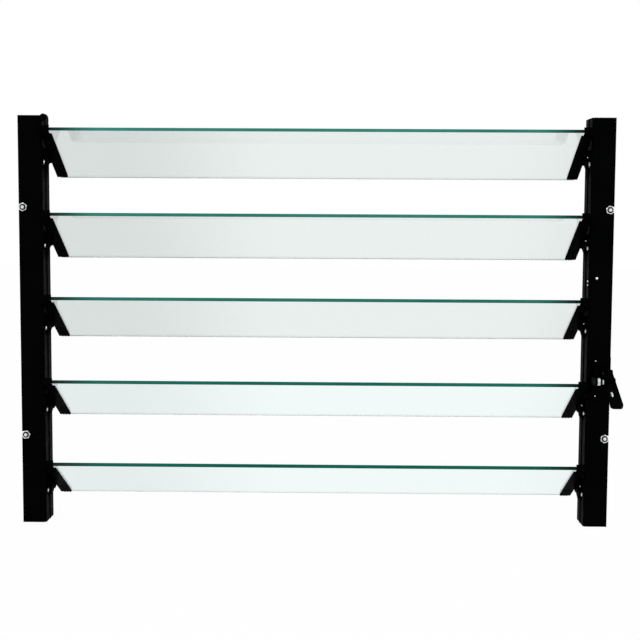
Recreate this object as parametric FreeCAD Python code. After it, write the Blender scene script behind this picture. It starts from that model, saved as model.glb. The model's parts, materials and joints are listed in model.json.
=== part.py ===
import FreeCAD, Part
import math
import os

# Louvre window with two jamb channels, five tilting glass blades held in
# end clips, two tie bars and a lever handle on the right jamb.
# Millimetres. +X to the right as seen from the room, +Y from the room to
# the outside, +Z up. The origin is on the wall side of the left flange.

os.makedirs("parts", exist_ok=True)

# Blades
BLADES = 5
PITCH = 140.0
CHORD = 152.0
GLASS_LENGTH = 900.0
GLASS_T = 6.0
GLASS_ARRIS = 1.2
TILT = 29.0
PIVOT_FROM_ROOM_EDGE = 71.0
PIVOT_BELOW_GLASS = 7.5
SWING_OPEN = 29.0
SWING_SHUT = 50.0

# End clips
END_PLAY = 0.5
GLASS_PLAY = 0.15
CLIP_WALL = 4.5
CLIP_SETBACK = 8.5
LIP_W = 18.5
LIP_T = 3.0
TOP_LIP_W = 11.0
TOP_LIP_T = 2.5
NOSE_LENGTH = 9.0
NOSE_W = 15.0
NOSE_T = 2.0
NOSE_LIP_T = 2.0
RIB_COUNT = 3
RIB_LENGTH = 34.0
RIB_W = 1.8
RIB_H = 0.8
HUB_R = 13.0
PIVOT_R = 5.0
PIVOT_TAIL = 1.5
RUNNING = 0.05
FACE_GAP = 0.3

# Linkage
CRANK_R = 24.0
CRANK_LEAN = 59.0
CRANK_PIN_R = 3.0
CRANK_ARM_W = 14.0
CRANK_ARM_PAST = 7.0
CRANK_ARM_CUT = 4.0
SLOT_PLAY = 1.2
BAR_W = 10.0
BAR_D = 9.0
BAR_TO_WEB = 3.0
BAR_END = 18.0

# Jamb channels
END_MARGIN = 65.0
CLIP_TO_WEB = 3.5
SHEET = 2.5
FLANGE_W = 39.5
CHANNEL_D = 57.0
REAR_FLANGE_W = 15.0
BEND = 5.0
BEAD_H = 1.4
BEAD_DEPTH = 27.0
BEAD_CLEAR = 5.0
PIVOT_DEPTH = 34.0
BOLT_SLOT_W = 9.0
BOLT_FROM_EDGE = 8.0
BOLT_FROM_END = 152.5

# Handle on the right jamb
HANDLE_BELOW_MIDDLE = 80.0
HANDLE_OUT = 14.0
LEVER_LENGTH = 92.0
LEVER_NECK = 11.0
LEVER_T = 7.0
LEVER_TIP_T = 5.0
LEVER_ROOT_W = 12.0
LEVER_TIP_W = 21.5
LEVER_TIP_PAST = 1.7
LEVER_CORNER_R = 6.0
LEVER_HUB_R = 6.5
LEVER_BOSS_R = 7.0
EAR_T = 2.5
EAR_R = 7.0
EAR_CUT = 4.0
EAR_GAP = 0.4
PIN_R = 3.5
PLATE_H = 76.0
PLATE_W = 27.0
PLATE_T = 2.5
LINK_T = 3.5
LINK_H = 12.0
LINK_INSET = 1.0
LINK_PLAY = 2.0
LINK_SLOT_PLAY = 5.0

# Derived places
X_WALL = GLASS_LENGTH / 2 + END_PLAY
X_CLIP = X_WALL + CLIP_WALL
X_WEB = X_CLIP + CLIP_TO_WEB
X_OUT = X_WEB + FLANGE_W
X_BAR = X_WEB + SHEET + BAR_TO_WEB
X_LINK = X_BAR + LINK_INSET
JAMB_H = (BLADES - 1) * PITCH + 2 * END_MARGIN
TOP_Z = JAMB_H / 2
BOLT_Z = TOP_Z - BOLT_FROM_END
CRANK_ANGLE = TILT - CRANK_LEAN
CRANK_LOW = CRANK_ANGLE - SWING_OPEN
CRANK_HIGH = CRANK_ANGLE + SWING_SHUT
HANDLE_Z = -HANDLE_BELOW_MIDDLE
LEVER_X0 = X_OUT - LEVER_ROOT_W
X_EAR = LEVER_X0 - EAR_GAP - EAR_T
ORIGIN = FreeCAD.Vector(-(X_OUT - FLANGE_W / 2), SHEET, 0)
X_AXIS = FreeCAD.Vector(1, 0, 0)
Y_AXIS = FreeCAD.Vector(0, 1, 0)
Z_AXIS = FreeCAD.Vector(0, 0, 1)


def vec(x, y, z):
    return FreeCAD.Vector(x, y, z)


def box(x0, x1, y0, y1, z0, z1):
    return Part.makeBox(x1 - x0, y1 - y0, z1 - z0, vec(x0, y0, z0))


def pin(x0, x1, y, z, r):
    return Part.makeCylinder(r, x1 - x0, vec(x0, y, z), X_AXIS)


def fuse(shapes):
    return shapes[0].multiFuse(shapes[1:]).removeSplitter()


def mirrored(shape):
    return shape.mirror(vec(0, 0, 0), X_AXIS)


def export(shape, node):
    placed = shape.copy()
    placed.translate(ORIGIN * -1)
    if placed.ShapeType == "Compound" and len(placed.Solids) == 1:
        placed = placed.Solids[0]
    placed.exportStep("parts/" + node + ".step")


def on_arc(y, z, r, angle):
    # A point at an angle above the level line that runs towards the room.
    a = math.radians(angle)
    return y - r * math.cos(a), z + r * math.sin(a)


def blade_z(index):
    return PITCH * ((BLADES - 1) / 2 - index)


def upright_edge(shape, x, y):
    for edge in shape.Edges:
        ends = (edge.valueAt(edge.FirstParameter), edge.valueAt(edge.LastParameter))
        if all(math.hypot(p.x - x, p.y - y) < 1e-6 for p in ends):
            return edge


def cut_corners(plate, end, size):
    # Takes off both corners at the end of a plate that faces the room.
    corners = []
    for edge in plate.Edges:
        span = edge.BoundBox
        if abs(span.YMax - end) < 1e-6 and span.ZLength < 1e-6:
            corners.append(edge)
    return plate.makeChamfer(size, corners)


def crank_slot(x0, x1, z):
    # Curved slot in the web, square at both ends, for one crank pin.
    y = PIVOT_DEPTH
    half = CRANK_PIN_R + SLOT_PLAY
    past = math.degrees(half / (CRANK_R - half))
    ring = pin(x0, x1, y, z, CRANK_R + half).cut(pin(x0, x1, y, z, CRANK_R - half))
    corners = [vec(x0, y, z)]
    for angle in (CRANK_LOW - past, (CRANK_LOW + CRANK_HIGH) / 2, CRANK_HIGH + past):
        corners.append(vec(x0, *on_arc(y, z, 3 * CRANK_R, angle)))
    wedge = Part.Face(Part.makePolygon(corners + corners[:1])).extrude(vec(x1 - x0, 0, 0))
    return ring.common(wedge)


def beads():
    # Pressed ridge up the web, left out where the clip hubs turn.
    half = BEAD_H / math.sqrt(2)
    stops = [TOP_Z]
    for index in range(BLADES):
        stops.append(blade_z(index) + HUB_R + BEAD_CLEAR)
        stops.append(blade_z(index) - HUB_R - BEAD_CLEAR)
    stops.append(-TOP_Z)
    runs = []
    for high, low in zip(stops[::2], stops[1::2]):
        run = box(-half, half, -half, half, low, high)
        run.rotate(vec(0, 0, 0), Z_AXIS, 45)
        run.translate(vec(X_WEB, BEAD_DEPTH, 0))
        runs.append(run)
    return runs


def channel():
    # Flange, web and rear return of the right jamb, bent from one sheet.
    x_end = X_WEB + REAR_FLANGE_W
    outline = [
        vec(X_OUT, 0, -TOP_Z),
        vec(X_WEB, 0, -TOP_Z),
        vec(X_WEB, CHANNEL_D, -TOP_Z),
        vec(x_end, CHANNEL_D, -TOP_Z),
        vec(x_end, CHANNEL_D - SHEET, -TOP_Z),
        vec(X_WEB + SHEET, CHANNEL_D - SHEET, -TOP_Z),
        vec(X_WEB + SHEET, SHEET, -TOP_Z),
        vec(X_OUT, SHEET, -TOP_Z),
    ]
    bar = Part.Face(Part.makePolygon(outline + outline[:1])).extrude(vec(0, 0, JAMB_H))
    for outer, inner in ((0, SHEET), (CHANNEL_D, CHANNEL_D - SHEET)):
        bar = bar.makeFillet(BEND, [upright_edge(bar, X_WEB, outer)])
        bar = bar.makeFillet(BEND - SHEET, [upright_edge(bar, X_WEB + SHEET, inner)])
    cuts = []
    half = BOLT_SLOT_W / 2
    x = X_OUT - BOLT_FROM_EDGE
    for z in (-BOLT_Z, BOLT_Z):
        cuts.append(Part.makeCylinder(half, 3 * SHEET, vec(x, -SHEET, z), Y_AXIS))
        cuts.append(box(x, X_OUT + SHEET, -SHEET, 2 * SHEET, z - half, z + half))
    bar = fuse([bar] + beads())
    x0 = X_WEB - SHEET
    x1 = X_WEB + 2 * SHEET
    for index in range(BLADES):
        z = blade_z(index)
        cuts.append(pin(x0, x1, PIVOT_DEPTH, z, PIVOT_R + RUNNING))
        cuts.append(crank_slot(x0, x1, z))
    return bar.cut(Part.makeCompound(cuts)).removeSplitter()


def link_window():
    # Opening for the drive link through the right flange.
    margin = LINK_H / 2 + LINK_SLOT_PLAY
    low = on_arc(0, HANDLE_Z, CRANK_R, CRANK_LOW)[1] - margin
    high = on_arc(0, HANDLE_Z, CRANK_R, CRANK_HIGH)[1] + margin
    x0 = X_LINK - LINK_PLAY
    x1 = X_LINK + LINK_T + LINK_PLAY
    return box(x0, x1, -3 * SHEET, 3 * SHEET, low, high)


def clip():
    # Right end clip, drawn flat about its pivot: y along the chord, z up.
    near = -PIVOT_FROM_ROOM_EDGE
    far = near + CHORD - CLIP_SETBACK
    nose = near + NOSE_LENGTH
    front = near - GLASS_PLAY
    seat = PIVOT_BELOW_GLASS - GLASS_T / 2 - GLASS_PLAY
    roof = seat + GLASS_T + 2 * GLASS_PLAY
    low = seat - LIP_T
    high = roof + TOP_LIP_T
    x_lip = X_CLIP - LIP_W
    pieces = [
        box(X_WALL, X_CLIP, front, far, low, high),
        box(x_lip, X_CLIP, nose, far, low, seat),
        box(X_CLIP - NOSE_W, X_CLIP, front, nose, seat - NOSE_LIP_T, seat),
        box(X_CLIP - NOSE_W, X_CLIP, front - NOSE_T, front, seat - NOSE_LIP_T, high),
        box(X_CLIP - TOP_LIP_W, X_CLIP, front, far, roof, high),
    ]
    step = (LIP_W - CLIP_WALL) / RIB_COUNT
    for k in range(RIB_COUNT):
        x = x_lip + (k + 0.5) * step - RIB_W / 2
        pieces.append(box(x, x + RIB_W, far - RIB_LENGTH, far, low - RIB_H, seat))
    y, z = on_arc(0, 0, CRANK_R, -CRANK_LEAN)
    end = -CRANK_R - CRANK_ARM_PAST
    arm = box(X_WALL, X_CLIP, end, 0, -CRANK_ARM_W / 2, CRANK_ARM_W / 2)
    arm = cut_corners(arm, end, CRANK_ARM_CUT)
    arm.rotate(vec(0, 0, 0), X_AXIS, CRANK_LEAN)
    pieces.append(arm)
    pieces.append(pin(X_WALL, X_WEB - FACE_GAP, 0, 0, HUB_R))
    pieces.append(pin(X_WALL, X_WEB + SHEET + PIVOT_TAIL, 0, 0, PIVOT_R))
    pieces.append(pin(X_WALL, X_BAR + BAR_W, y, z, CRANK_PIN_R))
    return fuse(pieces)


def glass():
    near = -PIVOT_FROM_ROOM_EDGE
    under = PIVOT_BELOW_GLASS - GLASS_T / 2
    half = GLASS_LENGTH / 2
    pane = box(-half, half, near, near + CHORD, under, under + GLASS_T)
    long_edges = [e for e in pane.Edges if abs(e.Length - GLASS_LENGTH) < 1e-6]
    return pane.makeChamfer(GLASS_ARRIS, long_edges)


def tilted(shape, index):
    # Turns a flat blade piece to its open angle and sets it on its pivot.
    turned = shape.copy()
    turned.rotate(vec(0, 0, 0), X_AXIS, -TILT)
    turned.translate(vec(0, PIVOT_DEPTH, blade_z(index)))
    return turned


def tie_bar():
    # Bar behind the web, bored for the crank pins of one side.
    y, drop = on_arc(PIVOT_DEPTH, 0, CRANK_R, CRANK_ANGLE)
    top = blade_z(0) + drop + BAR_END
    foot = blade_z(BLADES - 1) + drop - BAR_END
    y0 = y - BAR_D / 2
    bores = []
    for index in range(BLADES):
        z = blade_z(index) + drop
        bores.append(pin(X_BAR - BAR_W, X_BAR + 2 * BAR_W, y, z, CRANK_PIN_R + RUNNING))
    return box(X_BAR, X_BAR + BAR_W, y0, y0 + BAR_D, foot, top).cut(Part.makeCompound(bores))


def handle_bracket():
    # Base plate riveted to the flange, with one ear that carries the lever pin.
    x1 = X_EAR + EAR_T
    z = HANDLE_Z
    half = PLATE_H / 2
    z_plate = on_arc(0, HANDLE_Z, CRANK_R, CRANK_ANGLE)[1]
    plate = box(X_OUT - PLATE_W, X_OUT, -PLATE_T, 0, z_plate - half, z_plate + half)
    end = -HANDLE_OUT - EAR_R
    ear = cut_corners(box(X_EAR, x1, end, -PLATE_T / 2, z - EAR_R, z + EAR_R), end, EAR_CUT)
    bore = pin(X_EAR - EAR_T, x1 + EAR_T, -HANDLE_OUT, z, PIN_R)
    return fuse([plate, ear]).cut(bore)


def handle_lever():
    # Paddle drawn level towards the room, its inner side straight past the ear,
    # then wider and thinner to its tip, and drooped.
    tip = X_OUT + LEVER_TIP_PAST
    plan = [
        vec(LEVER_X0, 0, -LEVER_T),
        vec(X_OUT, 0, -LEVER_T),
        vec(tip, -LEVER_LENGTH, -LEVER_T),
        vec(tip - LEVER_TIP_W, -LEVER_LENGTH, -LEVER_T),
        vec(LEVER_X0, -LEVER_NECK, -LEVER_T),
    ]
    paddle = Part.Face(Part.makePolygon(plan + plan[:1])).extrude(vec(0, 0, 2 * LEVER_T))
    x = tip - 2 * LEVER_TIP_W
    side = [
        vec(x, 0, -LEVER_T / 2),
        vec(x, 0, LEVER_T / 2),
        vec(x, -LEVER_LENGTH, LEVER_TIP_T / 2),
        vec(x, -LEVER_LENGTH, -LEVER_TIP_T / 2),
    ]
    taper = Part.Face(Part.makePolygon(side + side[:1])).extrude(vec(3 * LEVER_TIP_W, 0, 0))
    arm = paddle.common(taper)
    corners = []
    for edge in arm.Edges:
        span = edge.BoundBox
        if abs(span.YMax + LEVER_LENGTH) < 1e-6 and span.XLength < 1e-6:
            corners.append(edge)
    arm = arm.makeFillet(LEVER_CORNER_R, corners)
    arm.rotate(vec(0, 0, 0), X_AXIS, -CRANK_ANGLE)
    arm.translate(vec(0, -HANDLE_OUT, HANDLE_Z))
    y, z = on_arc(-HANDLE_OUT, HANDLE_Z, CRANK_R, CRANK_ANGLE)
    hub = pin(LEVER_X0, X_OUT, -HANDLE_OUT, HANDLE_Z, LEVER_HUB_R)
    boss = pin(LEVER_X0, X_OUT, y, z, LEVER_BOSS_R)
    crank = pin(X_LINK, X_OUT, y, z, CRANK_PIN_R)
    bore = pin(X_EAR, X_OUT + EAR_T, -HANDLE_OUT, HANDLE_Z, PIN_R + RUNNING)
    return fuse([arm, hub, boss, crank]).cut(bore)


def handle_pin():
    return pin(X_EAR, X_OUT, -HANDLE_OUT, HANDLE_Z, PIN_R)


def drive_link():
    # Flat link from the right tie bar forward to the lever's crank pin.
    y, z = on_arc(-HANDLE_OUT, HANDLE_Z, CRANK_R, CRANK_ANGLE)
    y_bar = on_arc(PIVOT_DEPTH, 0, CRANK_R, CRANK_ANGLE)[0] - BAR_D / 2
    x1 = X_LINK + LINK_T
    half = LINK_H / 2
    plate = box(X_LINK, x1, y, y_bar, z - half, z + half)
    eye = pin(X_LINK, x1, y, z, half)
    return fuse([plate, eye]).cut(pin(X_LINK - LINK_T, x1 + LINK_T, y, z, CRANK_PIN_R + RUNNING))


right = channel()
export(mirrored(right), "left_jamb")
export(right.cut(link_window()), "right_jamb")

pane = glass()
right_clip = clip()
left_clip = mirrored(right_clip)
for index in range(BLADES):
    number = str(index + 1)
    export(tilted(pane, index), "glass_blade_" + number)
    export(tilted(left_clip, index), "left_clip_" + number)
    export(tilted(right_clip, index), "right_clip_" + number)

right_bar = tie_bar()
export(mirrored(right_bar), "left_tie_bar")
export(right_bar, "right_tie_bar")
export(handle_bracket(), "handle_bracket")
export(handle_lever(), "handle_lever")
export(handle_pin(), "handle_pivot_pin")
export(drive_link(), "drive_link")
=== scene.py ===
"""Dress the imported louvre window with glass, finishes, fasteners, light and camera.

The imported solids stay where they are. Each class below looks after one
sub-assembly: it works out its own surfaces with numpy, puts them into meshes,
gives them a finish and fixes them to the body that carries them.
"""

import json
import logging
import math
from dataclasses import dataclass
from enum import Enum

import bpy
import numpy as np
from mathutils import Matrix, Vector

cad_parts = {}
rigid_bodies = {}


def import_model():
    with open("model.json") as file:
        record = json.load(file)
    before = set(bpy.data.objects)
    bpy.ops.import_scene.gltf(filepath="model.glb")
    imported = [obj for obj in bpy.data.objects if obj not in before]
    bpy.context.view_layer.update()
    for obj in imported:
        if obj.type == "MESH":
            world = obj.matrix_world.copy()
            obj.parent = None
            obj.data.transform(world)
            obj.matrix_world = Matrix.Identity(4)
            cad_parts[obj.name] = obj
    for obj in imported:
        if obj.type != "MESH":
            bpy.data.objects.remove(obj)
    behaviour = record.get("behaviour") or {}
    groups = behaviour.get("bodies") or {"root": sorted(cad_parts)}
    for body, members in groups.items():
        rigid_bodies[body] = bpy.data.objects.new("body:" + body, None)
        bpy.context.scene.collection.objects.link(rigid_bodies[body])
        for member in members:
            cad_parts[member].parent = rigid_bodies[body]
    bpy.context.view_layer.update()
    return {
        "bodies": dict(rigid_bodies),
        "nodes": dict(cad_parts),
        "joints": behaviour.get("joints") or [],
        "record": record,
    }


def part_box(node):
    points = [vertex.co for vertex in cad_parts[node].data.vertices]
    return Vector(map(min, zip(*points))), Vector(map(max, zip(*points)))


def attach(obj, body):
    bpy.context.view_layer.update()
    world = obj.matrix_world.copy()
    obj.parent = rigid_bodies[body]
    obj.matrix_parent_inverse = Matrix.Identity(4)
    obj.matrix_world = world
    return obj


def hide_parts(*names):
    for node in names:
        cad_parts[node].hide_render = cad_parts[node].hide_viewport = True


LOG = logging.getLogger("louvre_window")
MM = 0.001
BLADES = 5
FULL_TURN = 2 * math.pi
DOME_END = 0.49 * math.pi  # just short of the pole, where a small flat closes a snap head

Colour = tuple[float, float, float, float]
Span = tuple[float, float]
Direction = tuple[float, float, float]
Lengths = float | np.ndarray
Material = bpy.types.Material
Socket = bpy.types.NodeSocket


class Way(Enum):
    """Direction a turned piece points in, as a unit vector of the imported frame."""

    ROOM = (0.0, -1.0, 0.0)
    LEFT = (-1.0, 0.0, 0.0)
    RIGHT = (1.0, 0.0, 0.0)


class Side(Enum):
    """Left or right of the window, as the room sees it; the value is the way out along X."""

    LEFT = -1
    RIGHT = 1

    @property
    def word(self) -> str:
        """The side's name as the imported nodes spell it."""
        return self.name.lower()

    @property
    def outward(self) -> Way:
        """The way from the window's middle to this side."""
        return Way[self.name]


class Level(Enum):
    """Upper or lower of two like places; the value is the way from the middle along Z."""

    UPPER = 1
    LOWER = -1

    @property
    def word(self) -> str:
        """The level's name inside a piece's name."""
        return self.name.lower()


class Axis(Enum):
    """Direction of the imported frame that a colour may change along."""

    X = "X"
    Z = "Z"


class Slot(Enum):
    """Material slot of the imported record."""

    COAT = "black_coat"
    NYLON = "black_nylon"
    GLASS = "glass"
    ZINC = "zinc"


class PaneFace(Enum):
    """Face of a pane; the value is its place in the pane's list of finishes."""

    CLEAR = 0
    ROOM_EDGE = 1
    FAR_EDGE = 2


@dataclass(frozen=True)
class Datum:
    """The window's own origin: mid-width, mid-height, on the room face of the flanges.

    Attributes:
        x: mid-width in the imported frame.
        y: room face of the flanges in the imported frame.
    """

    x: float
    y: float

    def point(self, across: float, depth: float, up: float) -> np.ndarray:
        """A place given by its distance right of the middle, behind the flange face and up."""
        return np.array([self.x + across, self.y + depth, up])


@dataclass(frozen=True)
class Surface:
    """Points and faces of one surface.

    Attributes:
        points: one row per vertex, in metres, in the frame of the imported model.
        faces: vertex indices of each face.
        groups: material slot of each face, or nothing for slot 0 everywhere.
    """

    points: np.ndarray
    faces: list[list[int]]
    groups: np.ndarray | None = None

    def piece(self, name: str, *finishes: Material, crease_deg: float = 35.0) -> bpy.types.Object:
        """Make a Blender object of the surface, at the origin and unturned.

        Args:
            name: the object's name.
            finishes: materials, one per slot.
            crease_deg: edges that turn by more than this stay sharp.

        Returns:
            The linked object, shaded smooth between its sharp edges.
        """
        mesh = bpy.data.meshes.new(name)
        mesh.from_pydata(self.points.tolist(), [], self.faces)
        for finish in finishes:
            mesh.materials.append(finish)
        if self.groups is not None:
            mesh.polygons.foreach_set("material_index", self.groups.astype(np.int32))
        mesh.shade_smooth()
        mesh.set_sharp_from_angle(angle=math.radians(crease_deg))
        mesh.validate()
        mesh.update()
        made = bpy.data.objects.new(name, mesh)
        bpy.context.scene.collection.objects.link(made)
        return made


def round_angles(steps: int) -> np.ndarray:
    """Angles of points that are spaced evenly round a circle."""
    return np.arange(steps) * (FULL_TURN / steps)


def ring_quads(rows: int, columns: int, closed: bool) -> np.ndarray:
    """Quads of a grid that wraps round in its second direction.

    Args:
        rows: number of rings.
        columns: points in each ring.
        closed: whether the last ring joins the first.

    Returns:
        Vertex indices, one quad a row, with the ring direction first.
    """
    starts = np.arange(rows if closed else rows - 1)
    row, column = np.meshgrid(starts, np.arange(columns), indexing="ij")
    beside = (column + 1) % columns
    here, after = row * columns, (row + 1) % rows * columns
    corners = (here + column, here + beside, after + beside, after + column)
    return np.stack(corners, axis=-1).reshape(-1, 4)


def tube_faces(rows: int, columns: int) -> list[list[int]]:
    """Faces of a row of rings with a flat face over each end.

    Args:
        rows: number of rings.
        columns: points in each ring.

    Returns:
        The quads between the rings, then the first and the last end.
    """
    first = list(range(columns - 1, -1, -1))
    last = list(range((rows - 1) * columns, rows * columns))
    return [*ring_quads(rows, columns, closed=False).tolist(), first, last]


def spun(
    along: np.ndarray, radius: np.ndarray, base: np.ndarray, way: Direction, loop: bool = False
) -> Surface:
    """Turned surface: base + along * way + radius * (cos a * side + sin a * top).

    Args:
        along: distance of each ring from the base.
        radius: radius of each ring at each angle, one row a ring.
        base: where the axis starts.
        way: unit vector along the axis.
        loop: whether the profile closes on itself, as a washer's does.

    Returns:
        The closed surface, with flat ends where the profile is open.
    """
    rings, steps = radius.shape
    turn = round_angles(steps)
    line = np.array(way)
    side = np.roll(np.eye(3), 1, axis=0)[np.argmax(np.abs(line))]
    side = side - line * (side @ line)
    side = side / np.linalg.norm(side)
    rim = np.cos(turn)[:, None] * side + np.sin(turn)[:, None] * np.cross(line, side)
    points = base + along[:, None, None] * line + radius[:, :, None] * rim[None]
    faces = ring_quads(rings, steps, closed=True).tolist() if loop else tube_faces(rings, steps)
    return Surface(points.reshape(-1, 3), faces)


def turned(
    profile: np.ndarray, base: np.ndarray, way: Direction, loop: bool = False, steps: int = 32
) -> Surface:
    """Round piece from a profile whose rows are a distance along the axis and a radius.

    Args:
        profile: the rows, in order from the base outwards.
        base: where the axis starts.
        way: unit vector along the axis.
        loop: whether the profile closes on itself.
        steps: points round the piece.

    Returns:
        The closed surface.
    """
    return spun(profile[:, 0], np.repeat(profile[:, 1:], steps, axis=1), base, way, loop)


def dome(radius: float, height: float, shank: float, sunk: float, rings: int = 7) -> np.ndarray:
    """Profile of a snap head: a shank, a flat underside and a quarter ellipse over it.

    Args:
        radius: radius of the head.
        height: how far the head stands out.
        shank: radius of the shank under it.
        sunk: how far the shank goes in.
        rings: points on the ellipse.

    Returns:
        Rows for a turned piece.
    """
    angle = np.linspace(0.0, DOME_END, rings)
    cap = np.column_stack([height * np.sin(angle), radius * np.cos(angle)])
    return np.vstack([[[-sunk, shank], [0.0, shank]], cap])


def ring(hole: float, radius: float, thick: float, ease: float = 0.3 * MM) -> np.ndarray:
    """Profile of a flat ring with eased outer corners.

    Args:
        hole: radius of its hole.
        radius: its outer radius.
        thick: its thickness.
        ease: how far the outer corners are cut back.

    Returns:
        Rows for a turned piece that loops.
    """
    along = np.array([0.0, 0.0, ease, thick - ease, thick, thick])
    out = np.array([hole, radius - ease, radius, radius, radius - ease, hole])
    return np.column_stack([along, out])


def hexagon(across: float, turn: np.ndarray) -> np.ndarray:
    """Radius of a hexagon at each angle: half its width over the cosine from the nearest flat."""
    nearest = (turn + math.pi / 6) % (math.pi / 3) - math.pi / 6
    return across / 2 / np.cos(nearest)


@dataclass(frozen=True)
class HexNut:
    """Hexagon nut with cut-off corners and a sunk bore mouth.

    Attributes:
        across: width across flats.
        thick: thickness.
        bore: radius of its hole.
        mouth: radius of the bore's mouth at the outer face.
        sunk: depth of the mouth.
        chamfer: how far the corners are cut down at each end.
        chamfer_rings: where rings lie on the chamfer, as shares of it.
        face_share: diameter of the round end face, as a share of the width.
        cone_slope: how fast the chamfer's radius grows with depth.
        steps: points round the nut.
    """

    across: float
    thick: float
    bore: float
    mouth: float
    sunk: float
    chamfer: float = 1.3 * MM
    chamfer_rings: tuple[float, ...] = (0.0, 0.35, 0.8, 1.0)
    face_share: float = 0.96
    cone_slope: float = math.sqrt(3.0)
    steps: int = 48

    def surface(self, base: np.ndarray, way: Direction, turn_deg: float) -> Surface:
        """Hexagon cut by a cone at each end: the outer radius is the smaller of the two.

        Args:
            base: centre of the seat.
            way: unit vector from the seat to the outer face.
            turn_deg: angle the nut stopped at.

        Returns:
            The closed nut.
        """
        turn = round_angles(self.steps) + math.radians(turn_deg)
        ends = np.array(self.chamfer_rings) * self.chamfer
        wall = np.concatenate([ends, self.thick - ends[::-1]])
        cone = self.across / 2 * self.face_share + np.minimum(wall, self.thick - wall) * self.cone_slope
        outer = np.minimum(hexagon(self.across, turn)[None], cone[:, None])
        inner = np.array([self.mouth, self.bore, self.bore])[:, None] * np.ones(self.steps)
        along = np.concatenate([wall, [self.thick, self.thick - self.sunk, 0.0]])
        return spun(along, np.vstack([outer, inner]), base, way, loop=True)


@dataclass(frozen=True)
class Grain:
    """Noise pattern of a finish.

    Attributes:
        per_m: how many grains lie along a metre.
        detail: octaves of finer noise.
        roughness: how strong the finer octaves are.
        start: noise value up to which the pattern is at its low end.
        stop: noise value from which it is at its high end.
    """

    per_m: float
    detail: float
    roughness: float = 0.5
    start: float = 0.3
    stop: float = 0.7


@dataclass(frozen=True)
class Relief:
    """Noise that is pressed into a surface.

    Attributes:
        grain: the noise.
        depth: how deep its highest value is.
        strength: how much of it shows.
    """

    grain: Grain
    depth: float
    strength: float


class Shader:
    """Node tree of one material, built up from its principled shader."""

    def __init__(self, name: str) -> None:
        """Start a material with a principled shader joined to its output.

        Args:
            name: the material's name.
        """
        self.material = bpy.data.materials.new(name)
        self.material.use_nodes = True
        self.tree = self.material.node_tree
        self.tree.nodes.clear()
        self.output = self.add("ShaderNodeOutputMaterial")
        self.body = self.add("ShaderNodeBsdfPrincipled")
        self.link(self.body.outputs["BSDF"], self.output.inputs["Surface"])

    def constant(self, **values: float | Colour) -> None:
        """Set sockets of the principled shader, named with _ for a space."""
        for name, value in values.items():
            self.body.inputs[name.replace("_", " ")].default_value = value

    def add(self, kind: str, **settings: object) -> bpy.types.Node:
        """Add a node and set its properties.

        Args:
            kind: the node's type.
            settings: properties of the node by name.

        Returns:
            The new node.
        """
        node = self.tree.nodes.new(kind)
        for name, value in settings.items():
            setattr(node, name, value)
        return node

    def link(self, source: Socket, target: Socket) -> None:
        """Join an output to an input."""
        self.tree.links.new(source, target)

    def noise(self, grain: Grain) -> Socket:
        """Noise on Object coordinates.

        Args:
            grain: the pattern.

        Returns:
            The noise's value, about 0.3 to 0.7.
        """
        place = self.add("ShaderNodeTexCoord")
        noise = self.add("ShaderNodeTexNoise")
        noise.inputs["Scale"].default_value = grain.per_m
        noise.inputs["Detail"].default_value = grain.detail
        noise.inputs["Roughness"].default_value = grain.roughness
        self.link(place.outputs["Object"], noise.inputs["Vector"])
        return noise.outputs["Fac"]

    def spread(self, grain: Grain, low: float = 0.0, high: float = 1.0) -> Socket:
        """Noise stretched to a range.

        Args:
            grain: the pattern.
            low: result up to the pattern's start.
            high: result from its stop on.

        Returns:
            The stretched value.
        """
        reach = self.add("ShaderNodeMapRange")
        limits = {"From Min": grain.start, "From Max": grain.stop, "To Min": low, "To Max": high}
        for name, number in limits.items():
            reach.inputs[name].default_value = number
        self.link(self.noise(grain), reach.inputs["Value"])
        return reach.outputs["Result"]

    def tint(self, value: Socket, first: Colour | Socket, second: Colour | Socket) -> Socket:
        """Mix two colours by a value.

        Args:
            value: the mixing value, from 0 to 1.
            first: colour at 0, or a socket that gives it.
            second: colour at 1, or a socket that gives it.

        Returns:
            The mixed colour.
        """
        mix = self.add("ShaderNodeMix", data_type="RGBA")
        sockets = [socket for socket in mix.inputs if socket.type == "RGBA"]
        for socket, colour in zip(sockets, (first, second)):
            if isinstance(colour, tuple):
                socket.default_value = colour
            else:
                self.link(colour, socket)
        self.link(value, mix.inputs["Factor"])
        return next(socket for socket in mix.outputs if socket.type == "RGBA")

    def away_from(self, axis: Axis, start: float, near: float, far: float) -> Socket:
        """Distance along an axis from a place on it, either way, eased from 0 to 1.

        Args:
            axis: the axis.
            start: the place.
            near: distance up to which the result is 0.
            far: distance from which the result is 1.

        Returns:
            The eased value.
        """
        place = self.add("ShaderNodeTexCoord")
        split = self.add("ShaderNodeSeparateXYZ")
        shift = self.add("ShaderNodeMath", operation="SUBTRACT")
        shift.inputs[1].default_value = start
        size = self.add("ShaderNodeMath", operation="ABSOLUTE")
        ease = self.add("ShaderNodeMapRange", interpolation_type="SMOOTHSTEP")
        ease.inputs["From Min"].default_value = near
        ease.inputs["From Max"].default_value = far
        self.link(place.outputs["Object"], split.inputs[0])
        self.link(split.outputs[axis.value], shift.inputs[0])
        self.link(shift.outputs[0], size.inputs[0])
        self.link(size.outputs[0], ease.inputs["Value"])
        return ease.outputs["Result"]

    def paint(self, colour: Socket) -> None:
        """Join a colour to the shader's base colour."""
        self.link(colour, self.body.inputs["Base Color"])

    def roughen(self, grain: Grain, limits: Span) -> None:
        """Let the roughness wander between two limits with a pattern."""
        self.link(self.spread(grain, *limits), self.body.inputs["Roughness"])

    def press(self, relief: Relief) -> None:
        """Press a relief into the shader's normal.

        Args:
            relief: the relief.
        """
        node = self.add("ShaderNodeBump")
        node.inputs["Distance"].default_value = relief.depth
        node.inputs["Strength"].default_value = relief.strength
        self.link(self.noise(relief.grain), node.inputs["Height"])
        self.link(node.outputs["Normal"], self.body.inputs["Normal"])


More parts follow.
